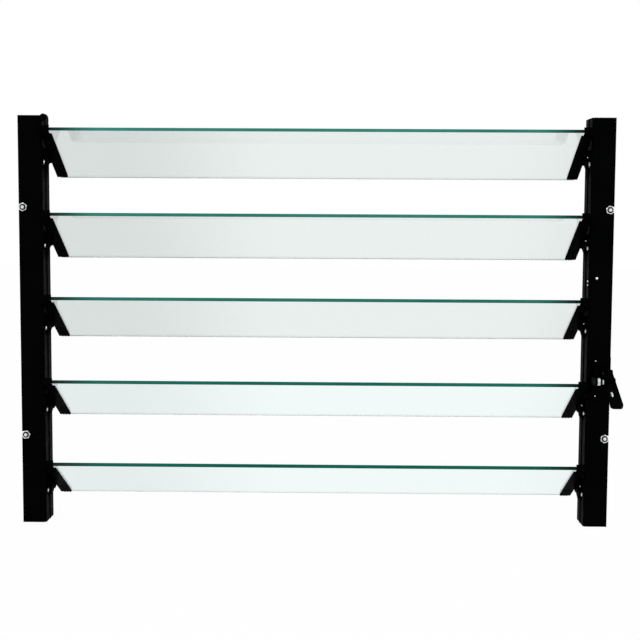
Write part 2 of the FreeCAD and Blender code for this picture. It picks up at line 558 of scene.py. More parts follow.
@dataclass(frozen=True)
class BlackFinish:
    """Dark opaque finish with broad patches of a second tone and small specks of a third.

    Attributes:
        name: the material's name.
        colour: the main tone.
        patched: tone of the patches.
        specked: tone of the specks.
        patches: pattern of the patches.
        specks: pattern of the specks.
        roughness: limits of the roughness.
        mottle: pattern of the roughness.
        relief: texture of the surface.
        shine: specular level.
    """

    name: str
    colour: Colour
    patched: Colour
    specked: Colour
    patches: Grain
    specks: Grain
    roughness: Span
    mottle: Grain
    relief: Relief
    shine: float

    def material(self) -> Material:
        """The finish as a Blender material.

        Returns:
            The material.
        """
        shader = Shader(self.name)
        shader.constant(Specular_IOR_Level=self.shine)
        tone = shader.tint(shader.spread(self.patches), self.colour, self.patched)
        shader.paint(shader.tint(shader.spread(self.specks), tone, self.specked))
        shader.roughen(self.mottle, self.roughness)
        shader.press(self.relief)
        return shader.material


@dataclass(frozen=True)
class PowderCoat(BlackFinish):
    """Satin black powder coat: fine orange peel, faint dust in broad patches and a few rubbed specks."""

    name: str = "powder_coat_black"
    colour: Colour = (0.0005, 0.0006, 0.0006, 1.0)
    patched: Colour = (0.0011, 0.0013, 0.0012, 1.0)
    specked: Colour = (0.012, 0.012, 0.011, 1.0)
    patches: Grain = Grain(14.0, 3.0)
    specks: Grain = Grain(150.0, 5.0, roughness=0.7, start=0.68, stop=0.76)
    roughness: Span = (0.42, 0.56)
    mottle: Grain = Grain(60.0, 4.0)
    relief: Relief = Relief(Grain(900.0, 2.0), depth=0.12 * MM, strength=0.35)
    shine: float = 0.005


@dataclass(frozen=True)
class Nylon(BlackFinish):
    """Moulded black nylon: fine sparked grain, flow marks and greyed, scuffed spots."""

    name: str = "nylon_black"
    colour: Colour = (0.0006, 0.0006, 0.0006, 1.0)
    patched: Colour = (0.0017, 0.0017, 0.0017, 1.0)
    specked: Colour = (0.016, 0.016, 0.016, 1.0)
    patches: Grain = Grain(45.0, 5.0, roughness=0.6)
    specks: Grain = Grain(320.0, 4.0, roughness=0.65, start=0.64, stop=0.74)
    roughness: Span = (0.34, 0.5)
    mottle: Grain = Grain(120.0, 3.0)
    relief: Relief = Relief(Grain(2600.0, 3.0), depth=0.08 * MM, strength=0.4)
    shine: float = 0.002


@dataclass(frozen=True)
class FloatGlass:
    """Clear float glass: its iron tint shows over a long way through it; its ends are painted greyer as
    painted shade, and its lower blades paler as painted light.

    Attributes:
        name: the material's name.
        ior: index of refraction.
        upper: colours of an upper blade, in its stretch of painted light and at its ends, which are
            painted greyer as painted shade.
        lower: the same of a lower blade, painted paler as painted light.
        bright_aside: how far right of the middle the stretch of painted light lies.
        greying: distances from there over which the glass is painted grey, as painted shade.
        paling_from: height from which the painted light on the lower blades is measured.
        paling: distances below it over which the glass is painted pale, as painted light.
        tint: colour that the body of the glass lets through.
        density: how fast the body takes up the other colours, per metre.
        smear: pattern of the roughness.
        roughness: limits of the roughness.
        wave: slow ripple of the faces.
    """

    name: str = "float_glass"
    ior: float = 1.52
    # Painted shade and light: an upper blade's ends are painted grey, and a lower blade is painted pale.
    upper: tuple[Colour, Colour] = ((0.88, 0.895, 0.885, 1.0), (0.715, 0.735, 0.725, 1.0))
    lower: tuple[Colour, Colour] = ((0.95, 1.0, 0.985, 1.0), (0.82, 0.855, 0.86, 1.0))
    bright_aside: float = 130.0 * MM
    greying: Span = (170.0 * MM, 480.0 * MM)
    paling_from: float = 300.0 * MM
    paling: Span = (335.0 * MM, 400.0 * MM)
    tint: Colour = (0.55, 0.80, 0.76, 1.0)
    density: float = 24.0
    smear: Grain = Grain(30.0, 4.0)
    roughness: Span = (0.0, 0.012)
    wave: Relief = Relief(Grain(9.0, 1.0), depth=0.02 * MM, strength=0.2)

    def material(self, middle_x: float) -> Material:
        """The finish as a Blender material.

        Args:
            middle_x: the window's middle, from which the painted shade of the ends is measured.

        Returns:
            The material.
        """
        shader = Shader(self.name)
        shader.constant(Transmission_Weight=1.0, IOR=self.ior)
        # Painted shade and light: the glass is painted grey towards the ends along X and pale on the
        # lower blades along Z.
        ends = shader.away_from(Axis.X, middle_x + self.bright_aside, *self.greying)
        low = shader.away_from(Axis.Z, self.paling_from, *self.paling)
        shader.paint(shader.tint(low, shader.tint(ends, *self.upper), shader.tint(ends, *self.lower)))
        shader.roughen(self.smear, self.roughness)
        shader.press(self.wave)
        body = shader.add("ShaderNodeVolumeAbsorption")
        body.inputs["Color"].default_value = self.tint
        body.inputs["Density"].default_value = self.density
        shader.link(body.outputs["Volume"], shader.output.inputs["Volume"])
        return shader.material


@dataclass(frozen=True)
class GroundGlass(FloatGlass):
    """The same glass, finely ground, on the edge away from the room."""

    name: str = "float_glass_ground"
    roughness: Span = (0.25, 0.4)


@dataclass(frozen=True)
class GlassEdge:
    """Polished long edge of the glass: the iron tint reads as deep green, painted deeper on the lower
    blades as painted shade, and dying into the painted shade of the clips.

    Attributes:
        name: the material's name.
        ior: index of refraction.
        upper: the streaks' two colours on the top blade.
        lower: the same on the bottom blade, painted darker as painted shade.
        deepening_from: height from which the painted shade towards the lower blades is measured.
        deepening: distances below it over which the green is painted deeper, as painted shade.
        shaded: painted shade of the clips, the colour beside them.
        fade: distances from the middle over which the green turns to the painted shade of the clips.
        streaks: pattern of the streaks.
        grind: pattern of the roughness.
        roughness: limits of the roughness.
        relief: texture that polishing left.
        shine: specular level.
    """

    name: str = "glass_edge_green"
    ior: float = 1.52
    # Painted shade: the lower blades get the darker greens, and the ends by the clips get the shaded
    # colour.
    upper: tuple[Colour, Colour] = ((0.024, 0.200, 0.152, 1.0), (0.040, 0.260, 0.198, 1.0))
    lower: tuple[Colour, Colour] = ((0.0, 0.100, 0.068, 1.0), (0.001, 0.140, 0.098, 1.0))
    deepening_from: float = 320.0 * MM
    deepening: Span = (0.0, 600.0 * MM)
    shaded: Colour = (0.0005, 0.003, 0.002, 1.0)
    fade: Span = (355.0 * MM, 450.0 * MM)
    streaks: Grain = Grain(7.0, 5.0, roughness=0.55)
    grind: Grain = Grain(180.0, 3.0)
    roughness: Span = (0.12, 0.3)
    relief: Relief = Relief(Grain(700.0, 2.0), depth=0.05 * MM, strength=0.2)
    shine: float = 0.04

    def material(self, middle_x: float) -> Material:
        """The finish as a Blender material.

        Args:
            middle_x: the window's middle, from which the painted shade towards the ends is measured.

        Returns:
            The material.
        """
        shader = Shader(self.name)
        shader.constant(IOR=self.ior, Specular_IOR_Level=self.shine)
        streak = shader.spread(self.streaks)
        # Painted shade: the green is painted deeper lower down, and the clips' shade is painted in at
        # the ends.
        low = shader.away_from(Axis.Z, self.deepening_from, *self.deepening)
        ends = shader.away_from(Axis.X, middle_x, *self.fade)
        green = shader.tint(low, shader.tint(streak, *self.upper), shader.tint(streak, *self.lower))
        shader.paint(shader.tint(ends, green, self.shaded))
        shader.roughen(self.grind, self.roughness)
        shader.press(self.relief)
        return shader.material


@dataclass(frozen=True)
class ZincPlate:
    """Bright zinc plate with cloudy patches and fine tumbling marks.

    Attributes:
        name: the material's name.
        bright: colour of the clear patches.
        cloudy: colour of the cloudy ones.
        clouds: pattern of the patches.
        roughness: limits of the roughness.
        tumbling: pattern of the roughness.
        marks: texture of the surface.
    """

    name: str = "zinc_plate"
    bright: Colour = (0.84, 0.85, 0.86, 1.0)
    cloudy: Colour = (0.56, 0.575, 0.57, 1.0)
    clouds: Grain = Grain(160.0, 4.0, roughness=0.6)
    roughness: Span = (0.22, 0.42)
    tumbling: Grain = Grain(420.0, 3.0)
    marks: Relief = Relief(Grain(1900.0, 2.0), depth=0.06 * MM, strength=0.3)

    def material(self) -> Material:
        """The finish as a Blender material.

        Returns:
            The material.
        """
        shader = Shader(self.name)
        shader.constant(Metallic=1.0)
        shader.paint(shader.tint(shader.spread(self.clouds), self.bright, self.cloudy))
        shader.roughen(self.tumbling, self.roughness)
        shader.press(self.marks)
        return shader.material


@dataclass(frozen=True)
class Finishes:
    """The window's finishes as Blender materials, made once and shared.

    Attributes:
        coat: finish of the metal pieces.
        nylon: finish of the moulded pieces.
        glass: finish of the panes.
        edge: finish of their edges towards the room.
        far_edge: finish of their other long edges.
        zinc: finish of the fasteners.
    """

    coat: Material
    nylon: Material
    glass: Material
    edge: Material
    far_edge: Material
    zinc: Material

    @staticmethod
    def make(middle_x: float) -> "Finishes":
        """Build every finish.

        Args:
            middle_x: the window's middle, from which colours change along the blades.

        Returns:
            The finishes.
        """
        return Finishes(
            coat=PowderCoat().material(),
            nylon=Nylon().material(),
            glass=FloatGlass().material(middle_x),
            edge=GlassEdge().material(middle_x),
            far_edge=GroundGlass().material(middle_x),
            zinc=ZincPlate().material(),
        )

    def of_slot(self, slot: Slot) -> Material:
        """The finish that stands for one of the record's material slots.

        Args:
            slot: the slot.

        Returns:
            The material.
        """
        by_slot = {
            Slot.COAT: self.coat,
            Slot.NYLON: self.nylon,
            Slot.GLASS: self.glass,
            Slot.ZINC: self.zinc,
        }
        return by_slot[slot]


@dataclass(frozen=True)
class Solids:
    """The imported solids, which keep their shape and get a finish.

    Attributes:
        frame: the loaded frame.
        finishes: the window's finishes.
    """

    frame: dict
    finishes: Finishes

    def dress(self) -> None:
        """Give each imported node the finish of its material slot."""
        for part in self.frame["record"]["subparts"]:
            node = self.frame["nodes"][part["node"]]
            finish = self.finishes.of_slot(Slot(part["material_slot"]))
            node.data.materials.clear()
            node.data.materials.append(finish)
            LOG.info("finish %s on %s", finish.name, node.name)


@dataclass(frozen=True)
class BladeFrame:
    """Where one blade lies: its pivot and the direction of its chord.

    Attributes:
        number: the blade's number, 1 at the top.
        pivot: a point on the pivot line at the window's middle.
        tilt: angle of the chord below level, away from the room, in radians.
    """

    number: int
    pivot: np.ndarray
    tilt: float

    @property
    def body(self) -> str:
        """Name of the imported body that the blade's pieces move with."""
        return f"blade_{self.number}"

    def place(self, across: Lengths, chord: Lengths, rise: Lengths) -> np.ndarray:
        """Put flat-blade coordinates into the frame by a turn about the pivot line.

        Args:
            across: distance along the window from its middle.
            chord: distance from the pivot away from the room, along the blade.
            rise: distance above the pivot, square to the blade.

        Returns:
            Points, one row each.
        """
        c, s = math.cos(self.tilt), math.sin(self.tilt)
        y = chord * c + rise * s
        z = rise * c - chord * s
        return np.stack([self.pivot[0] + across, self.pivot[1] + y, self.pivot[2] + z], axis=-1)


@dataclass(frozen=True)
class GlassBlades:
    """Five panes of float glass with rounded long edges.

    Attributes:
        frames: where the blades lie.
        finishes: the window's finishes.
        length: length of a pane.
        chord: its width.
        thick: its thickness.
        near: chord of its edge towards the room.
        rise: height of its middle plane above the pivot.
        arris: radius of its rounded corners.
        arris_steps: faces on each corner.
        spans: faces along a pane.
        crease_deg: edges that turn by more than this stay sharp.
    """

    frames: tuple[BladeFrame, ...]
    finishes: Finishes
    length: float = 900.0 * MM
    chord: float = 152.0 * MM
    thick: float = 6.0 * MM
    near: float = -71.0 * MM
    rise: float = 7.5 * MM
    arris: float = 1.2 * MM
    arris_steps: int = 4
    spans: int = 30
    crease_deg: float = 8.0

    def profile(self) -> tuple[np.ndarray, np.ndarray, np.ndarray]:
        """Rounded rectangle: each corner is a quarter circle of the arris radius.

        Returns:
            Chord and rise of each profile point, and the PaneFace value of the face after it.
        """
        quarter = np.linspace(0.0, math.pi / 2, self.arris_steps + 1)
        starts = np.arange(4) * math.pi / 2
        angle = (starts[:, None] + quarter[None]).ravel()
        half_c, half_t = self.chord / 2 - self.arris, self.thick / 2 - self.arris
        corner_c = np.repeat(np.array([1, -1, -1, 1]) * half_c, len(quarter))
        corner_t = np.repeat(np.array([1, 1, -1, -1]) * half_t, len(quarter))
        chord = self.near + self.chord / 2 + corner_c + self.arris * np.cos(angle)
        rise = self.rise + corner_t + self.arris * np.sin(angle)
        middle = (chord + np.roll(chord, -1)) / 2 - self.near - self.chord / 2
        edges = [PaneFace.ROOM_EDGE.value, PaneFace.FAR_EDGE.value]
        return chord, rise, np.select([middle < -half_c, middle > half_c], edges, PaneFace.CLEAR.value)

    def pane(self, frame: BladeFrame) -> Surface:
        """The profile carried along the window from end to end, with flat ends.

        Args:
            frame: where the blade lies.

        Returns:
            The closed pane, its faces grouped by PaneFace.
        """
        chord, rise, faces = self.profile()
        rows, columns = self.spans + 1, len(chord)
        across = np.linspace(-self.length / 2, self.length / 2, rows)
        points = frame.place(np.repeat(across, columns), np.tile(chord, rows), np.tile(rise, rows))
        groups = np.concatenate([np.tile(faces, self.spans), [PaneFace.CLEAR.value] * 2])
        return Surface(points, tube_faces(rows, columns), groups)

    def build(self) -> None:
        """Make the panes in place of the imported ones, each on its own blade."""
        slots = (self.finishes.glass, self.finishes.edge, self.finishes.far_edge)
        for frame in self.frames:
            surface = self.pane(frame)
            made = surface.piece(f"glass_pane_{frame.number}", *slots, crease_deg=self.crease_deg)
            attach(made, frame.body)
            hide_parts(f"glass_blade_{frame.number}")
            LOG.info("pane %s", made.name)


@dataclass(frozen=True)
class Fastening:
    """One small piece that is ready to be put on a body.

    Attributes:
        name: the piece's name.
        surface: its shape.
        body: the body it moves with.
        slot: the record's material slot that its finish stands for.
    """

    name: str
    surface: Surface
    body: str = "frame"
    slot: Slot = Slot.ZINC

    def fit(self, finishes: Finishes) -> None:
        """Make the piece and fix it to its body.

        Args:
            finishes: the window's finishes.
        """
        made = self.surface.piece(self.name, finishes.of_slot(self.slot))
        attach(made, self.body)
        LOG.info("fastening %s on %s", self.name, self.body)


@dataclass(frozen=True)
class JambBolts:
    """Lock nuts with a dark insert on threaded studs, in the open slots of both jambs.

    Attributes:
        datum: the window's own origin.
        finishes: the window's finishes.
        out_x: distance of the studs from the window's middle.
        z: their height above and below it.
        turns_deg: angle that each nut stopped at.
        nut: the nut.
        insert_r: radius of its insert.
        insert_t: thickness of its insert.
        stud_r: radius of a stud.
        stud_out: how far a stud stands out of the flange.
        stud_in: how far it goes in.
        thread: pitch of the thread.
        thread_depth: depth of the thread.
        tip_r: radius of a stud's tip.
        tip_length: length of its taper.
        stud_rings: rings along a stud.
        steps: points round it.
    """

    datum: Datum
    finishes: Finishes
    out_x: float = 490.0 * MM
    z: float = 192.5 * MM
    turns_deg: tuple[tuple[Side, Level, float], ...] = (
        (Side.LEFT, Level.UPPER, 8.0),
        (Side.LEFT, Level.LOWER, 21.0),
        (Side.RIGHT, Level.UPPER, -12.0),
        (Side.RIGHT, Level.LOWER, 3.0),
    )
    nut: HexNut = HexNut(across=13.0 * MM, thick=6.8 * MM, bore=4.0 * MM, mouth=5.6 * MM, sunk=1.7 * MM)
    insert_r: float = 5.55 * MM
    insert_t: float = 1.2 * MM
    stud_r: float = 4.0 * MM
    stud_out: float = 8.6 * MM
    stud_in: float = 4.0 * MM
    thread: float = 1.25 * MM
    thread_depth: float = 0.55 * MM
    tip_r: float = 2.6 * MM
    tip_length: float = 4.0 * MM
    stud_rings: int = 120
    steps: int = 48

    def stud(self, base: np.ndarray) -> Surface:
        """Threaded rod: its radius falls and rises once a pitch, along a helix, and tapers at its tip.

        Args:
            base: where the stud meets the flange.

        Returns:
            The closed rod.
        """
        turn = np.arange(self.steps) / self.steps
        along = np.linspace(-self.stud_in, self.stud_out, self.stud_rings)
        phase = (along[:, None] / self.thread + turn[None]) % 1.0
        groove = self.thread_depth * np.abs(2 * phase - 1)
        tip = np.clip((self.stud_out - along) / self.tip_length, 0.0, 1.0)
        taper = self.tip_r + (self.stud_r - self.tip_r) * tip[:, None]
        return spun(along, np.minimum(self.stud_r - groove, taper), base, Way.ROOM.value)

    def build(self) -> None:
        """Make the four sets, each nut stopped at its own angle."""
        room = Way.ROOM.value
        insert = ring(self.stud_r, self.insert_r, self.insert_t)
        insert[:, 0] += self.nut.thick - self.nut.sunk
        for side, level, turn_deg in self.turns_deg:
            base = self.datum.point(side.value * self.out_x, 0.0, level.value * self.z)
            name = f"{side.word}_{level.word}"
            for piece in (
                Fastening(f"{name}_nut", self.nut.surface(base, room, turn_deg)),
                Fastening(f"{name}_insert", turned(insert, base, room, loop=True), slot=Slot.NYLON),
                Fastening(f"{name}_stud", self.stud(base)),
            ):
                piece.fit(self.finishes)


@dataclass(frozen=True)
class BladePins:
    """Zinc collars, spring washers and snap heads on the pins of every end clip, and hub screws.

    Attributes:
        frames: where the blades lie.
        finishes: the window's finishes.
        crank_r: distance of a crank pin from its pivot.
        crank_lean_deg: angle of the crank from the chord.
        pin_r: radius of a crank pin.
        pivot_r: radius of a pivot pin.
        collar_x: where a crank pin's collar begins, from the window's middle.
        collar_t: its thickness.
        collar_r: its radius.
        washer_x: where a pivot's toothed washer begins.
        washer_t: its thickness.
        washer_r: its mean radius.
        tooth: how far its teeth swing in and out.
        teeth: number of its teeth.
        head_x: where a crank pin's snap head begins.
        head_r: its radius.
        head_t: its height.
        shank_gap: how much thinner its shank is than the pin.
        screw_x: place of a hub screw across the window.
        screw_depth: how far a hub screw lies in front of the pivot.
        screw_r: its radius.
        screw_t: its height.
        steps: points round a washer.
    """

    frames: tuple[BladeFrame, ...]
    finishes: Finishes
    crank_r: float = 24.0 * MM
    crank_lean_deg: float = 59.0
    pin_r: float = 3.0 * MM
    pivot_r: float = 5.0 * MM
    collar_x: float = 455.05 * MM
    collar_t: float = 3.1 * MM
    collar_r: float = 4.3 * MM
    washer_x: float = 461.1 * MM
    washer_t: float = 0.7 * MM
    washer_r: float = 7.4 * MM
    tooth: float = 0.8 * MM
    teeth: int = 8
    head_x: float = 474.05 * MM
    head_r: float = 4.4 * MM
    head_t: float = 1.6 * MM
    shank_gap: float = 0.2 * MM
    screw_x: float = 456.4 * MM
    screw_depth: float = 12.9 * MM
    screw_r: float = 1.6 * MM
    screw_t: float = 0.8 * MM
    steps: int = 48

    def star(self, base: np.ndarray, way: Direction) -> Surface:
        """Toothed ring: its outer radius swings once a tooth.

        Args:
            base: where the ring begins on its axis.
            way: unit vector along the axis.

        Returns:
            The closed ring.
        """
        profile = ring(self.pivot_r, self.washer_r, self.washer_t, self.washer_t / 4)
        radius = np.repeat(profile[:, 1:], self.steps, axis=1)
        radius[1:-1] += self.tooth * np.cos(self.teeth * round_angles(self.steps))
        return spun(profile[:, 0], radius, base, way, loop=True)

    def set_screw(self, frame: BladeFrame) -> Fastening:
        """Small round screw in the room side of a right hub.

        Args:
            frame: where the blade lies.

        Returns:
            The screw.
        """
        base = frame.pivot + np.array([self.screw_x, -self.screw_depth, 0.0])
        head = dome(self.screw_r, self.screw_t, self.screw_r, self.screw_t)
        surface = turned(head, base, Way.ROOM.value)
        return Fastening(f"right_set_screw_{frame.number}", surface, frame.body)

    def end(self, frame: BladeFrame, side: Side) -> tuple[Fastening, ...]:
        """Fastenings at one end of one blade.

        Args:
            frame: where the blade lies.
            side: which end.

        Returns:
            The crank pin's collar and head, and the pivot's washer.
        """
        lean = math.radians(self.crank_lean_deg)
        chord, rise = -self.crank_r * math.cos(lean), -self.crank_r * math.sin(lean)
        crank = frame.place(side.value * self.collar_x, chord, rise)
        tip = frame.place(side.value * self.head_x, chord, rise)
        pivot = frame.place(side.value * self.washer_x, 0.0, 0.0)
        way = side.outward.value
        collar = turned(ring(self.pin_r, self.collar_r, self.collar_t), crank, way, loop=True)
        head = dome(self.head_r, self.head_t, self.pin_r - self.shank_gap, self.head_t)
        return (
            Fastening(f"{side.word}_crank_collar_{frame.number}", collar, frame.body),
            Fastening(f"{side.word}_crank_head_{frame.number}", turned(head, tip, way), frame.body),
            Fastening(f"{side.word}_pivot_washer_{frame.number}", self.star(pivot, way), frame.body),
        )

    def build(self) -> None:
        """Make the pins' fastenings on both ends of every blade, and the right hubs' screws."""
        for frame in self.frames:
            ends = (piece for side in Side for piece in self.end(frame, side))
            for piece in (self.set_screw(frame), *ends):
                piece.fit(self.finishes)


@dataclass(frozen=True)
class HandleRivets:
    """Snap heads on the handle's bracket, and on the flange and web above it.

    Attributes:
        datum: the window's own origin.
        finishes: the window's finishes.
        head_t: height of a head.
        plate_x: place of the bracket's rivets across the window.
        plate_y: room face of the bracket's plate.
        plate_z: heights of its two rivets.
        plate_r: radius of their heads.
        flange_x: place of the flange's rivet across the window.
        flange_z: its height.
        flange_r: radius of its head.
        web_x: face of the web that its rivets stand on.
        web_y: their depth behind the flange face.
        web_z: their heights.
        web_r: radius of their heads.
    """

    datum: Datum
    finishes: Finishes
    head_t: float = 0.9 * MM
    plate_x: float = 472.6 * MM
    plate_y: float = -2.5 * MM
    plate_z: Span = (-60.6 * MM, -120.0 * MM)
    plate_r: float = 1.2 * MM
    flange_x: float = 471.7 * MM
    flange_z: float = 78.4 * MM
    flange_r: float = 2.2 * MM
    web_x: float = 458.5 * MM
    web_y: float = 9.0 * MM
    web_z: Span = (73.0 * MM, 66.5 * MM)
    web_r: float = 2.0 * MM

    def rivet(self, name: str, radius: float, place: np.ndarray, way: Way) -> Fastening:
        """One rivet.

        Args:
            name: its name.
            radius: radius of its head.
            place: where its head sits.
            way: the way it points.

        Returns:
            The rivet.
        """
        head = dome(radius, self.head_t, radius / 2, self.head_t)
        return Fastening(name, turned(head, place, way.value))

    def build(self) -> None:
        """Make the flange's rivet and the two pairs."""
        flange = self.datum.point(self.flange_x, 0.0, self.flange_z)
        rivets = [self.rivet("flange_rivet", self.flange_r, flange, Way.ROOM)]
        for level, plate_z, web_z in zip(Level, self.plate_z, self.web_z):
            plate = self.datum.point(self.plate_x, self.plate_y, plate_z)
            web = self.datum.point(self.web_x, self.web_y, web_z)
            rivets.append(self.rivet(f"bracket_rivet_{level.word}", self.plate_r, plate, Way.ROOM))
            rivets.append(self.rivet(f"web_rivet_{level.word}", self.web_r, web, Way.LEFT))
        for piece in rivets:
            piece.fit(self.finishes)


@dataclass(frozen=True)
class LeverCrank:
    """Washer, nut, sleeve, collar and spacer in a row on the lever's crank pin, from the link out.

    Attributes:
        datum: the window's own origin.
        finishes: the window's finishes.
        y: depth of the pin behind the flange face.
        z: its height.
        pin_r: its radius.
        start_x: where the row begins, from the window's middle.
        boss_x: where it ends, at the lever's boss.
        washer_r: radius of the washer.
        washer_t: its thickness.
        nut: the nut.
        nut_turn_deg: angle it stopped at.
        sleeve_r: radius of the sleeve and the spacer.
        sleeve_t: length of the sleeve.
        collar_r: radius of the collar.
        collar_t: its thickness.
    """

    datum: Datum
    finishes: Finishes
    y: float = -34.785 * MM
    z: float = -92.0 * MM
    pin_r: float = 3.0 * MM
    start_x: float = 468.7 * MM
    boss_x: float = 485.9 * MM
    washer_r: float = 6.2 * MM
    washer_t: float = 1.0 * MM
    nut: HexNut = HexNut(
        across=12.0 * MM, thick=3.6 * MM, bore=3.0 * MM, mouth=4.0 * MM, sunk=0.6 * MM, chamfer=1.0 * MM
    )
    nut_turn_deg: float = 14.0
    sleeve_r: float = 4.4 * MM
    sleeve_t: float = 3.6 * MM
    collar_r: float = 4.0 * MM
    collar_t: float = 2.4 * MM

    def build(self) -> None:
        """Make the row, each piece beginning where the one before it ends."""
        right, body = Way.RIGHT.value, "handle"
        thick = (self.washer_t, self.nut.thick, self.sleeve_t, self.collar_t)
        starts = self.start_x + np.concatenate([[0.0], np.cumsum(thick)])
        places = [self.datum.point(x, self.y, self.z) for x in starts]
        rings = (
            ("washer", 0, self.washer_r, self.washer_t, Slot.ZINC),
            ("sleeve", 2, self.sleeve_r, self.sleeve_t, Slot.NYLON),
            ("collar", 3, self.collar_r, self.collar_t, Slot.ZINC),
            ("spacer", 4, self.sleeve_r, self.boss_x - starts[4], Slot.NYLON),
        )
        nut = self.nut.surface(places[1], right, self.nut_turn_deg)
        Fastening("lever_crank_nut", nut, body).fit(self.finishes)
        for word, station, radius, length, slot in rings:
            surface = turned(ring(self.pin_r, radius, length), places[station], right, loop=True)
            Fastening(f"lever_crank_{word}", surface, body, slot).fit(self.finishes)


@dataclass(frozen=True)
class LeverInlay:
    """Oval zinc stud in the upper face of the lever.

    Attributes:
        datum: the window's own origin.
        finishes: the window's finishes.
        pivot_y: depth of the lever's pivot behind the flange face.
        pivot_z: its height.
        droop_deg: angle of the lever's upper face below level.
        x: place of the stud across the window.
        out: its distance from the pivot along the lever.
        up: its distance above the pivot, square to the lever.
        half_long: half its length across the lever.
        half_short: half its width.
        height: how far it stands out.
        shank_share: size of its shank as a share of its own.
        steps: points round it.
    """

    datum: Datum
    finishes: Finishes
    pivot_y: float = -14.0 * MM
    pivot_z: float = -80.0 * MM
    droop_deg: float = 30.0
    x: float = 486.2 * MM
    out: float = 60.0 * MM
    up: float = 2.75 * MM
    half_long: float = 7.0 * MM
    half_short: float = 2.0 * MM
    height: float = 0.9 * MM
    shank_share: float = 0.8
    steps: int = 32

    def build(self) -> None:
        """Draw a snap head's radius out to an ellipse, square to the lever's face."""
        droop = math.radians(self.droop_deg)
        c, s = math.cos(droop), math.sin(droop)
        depth = self.pivot_y - self.out * c - self.up * s
        height = self.pivot_z - self.out * s + self.up * c
        turn = round_angles(self.steps)
        long, short = self.half_long, self.half_short
        oval = long * short / np.hypot(short * np.cos(turn), long * np.sin(turn))
        head = dome(1.0, self.height, self.shank_share, self.height)
        base = self.datum.point(self.x, depth, height)
        surface = spun(head[:, 0], head[:, 1:] * oval[None], base, (0.0, -s, c))
        Fastening("lever_inlay", surface, "handle").fit(self.finishes)


@dataclass(frozen=True)
class StopButton:
    """Dished round button at the top of the left jamb, pressed into the corner of the channel.

    Attributes:
        datum: the window's own origin.
        finishes: the window's finishes.
        across: its place across the window.
        up: its height.
        radius: its radius.
        front: how far it stands in front of the flange face.
        back: how far it goes behind it.
        ease: how far its corners are cut back.
        rim: width of its rim.
        dish: depth of the dish inside the rim.
        boss_r: radius of the small boss in the middle.
    """

    datum: Datum
    finishes: Finishes
    across: float = -454.5 * MM
    up: float = 341.2 * MM
    radius: float = 6.3 * MM
    front: float = 4.0 * MM
    back: float = 8.0 * MM
    ease: float = 0.8 * MM
    rim: float = 2.0 * MM
    dish: float = 1.2 * MM
    boss_r: float = 1.7 * MM

    def build(self) -> None:
        """Turn the profile: back, wall, eased rim, dish and the small boss in its middle."""
        inner, floor = self.radius - self.rim, self.front - self.dish
        profile = np.array(
            [
                [-self.back, self.radius - self.ease],
                [self.ease - self.back, self.radius],
                [self.front - self.ease, self.radius],
                [self.front, self.radius - self.ease],
                [self.front, inner],
                [floor, inner - self.ease / 2],
                [floor, self.boss_r],
                [self.front - self.dish / 3, self.boss_r - self.ease / 2],
            ]
        )
        base = self.datum.point(self.across, 0.0, self.up)
        surface = turned(profile, base, Way.ROOM.value)
        Fastening("left_stop_button", surface, slot=Slot.NYLON).fit(self.finishes)


def seen_as_background(tree: bpy.types.NodeTree) -> Socket:
    """Nodes that tell rays of the lens, of reflections and through glass from those that light.

    Args:
        tree: the node tree to add them to.

    Returns:
        A value of 1 for such a ray and 0 for any other: the largest of the three tests.
    """
    path = tree.nodes.new("ShaderNodeLightPath")
    found = path.outputs["Is Camera Ray"]
    for test in ("Is Glossy Ray", "Is Transmission Ray"):
        either = tree.nodes.new("ShaderNodeMath")
        either.operation = "MAXIMUM"
        tree.links.new(found, either.inputs[0])
        tree.links.new(path.outputs[test], either.inputs[1])
        found = either.outputs[0]
    return found


@dataclass(frozen=True)
class Lamp:
    """Square soft lamp.

    Attributes:
        name: its name.
        offset: its place from the window's middle.
        size: its side length.
        watts: its power.
    """

    name: str
    offset: Direction
    size: float
    watts: float

    def hang(self, middle: Vector) -> None:
        """Hang the lamp so that it faces the window's middle.

        Args:
            middle: the window's middle.
        """
        data = bpy.data.lights.new(self.name, "AREA")
        data.size = self.size
        data.energy = self.watts
        made = bpy.data.objects.new(self.name, data)
        made.location = middle + Vector(self.offset)
        made.rotation_euler = (-Vector(self.offset)).to_track_quat("-Z", "Y").to_euler()
        bpy.context.scene.collection.objects.link(made)


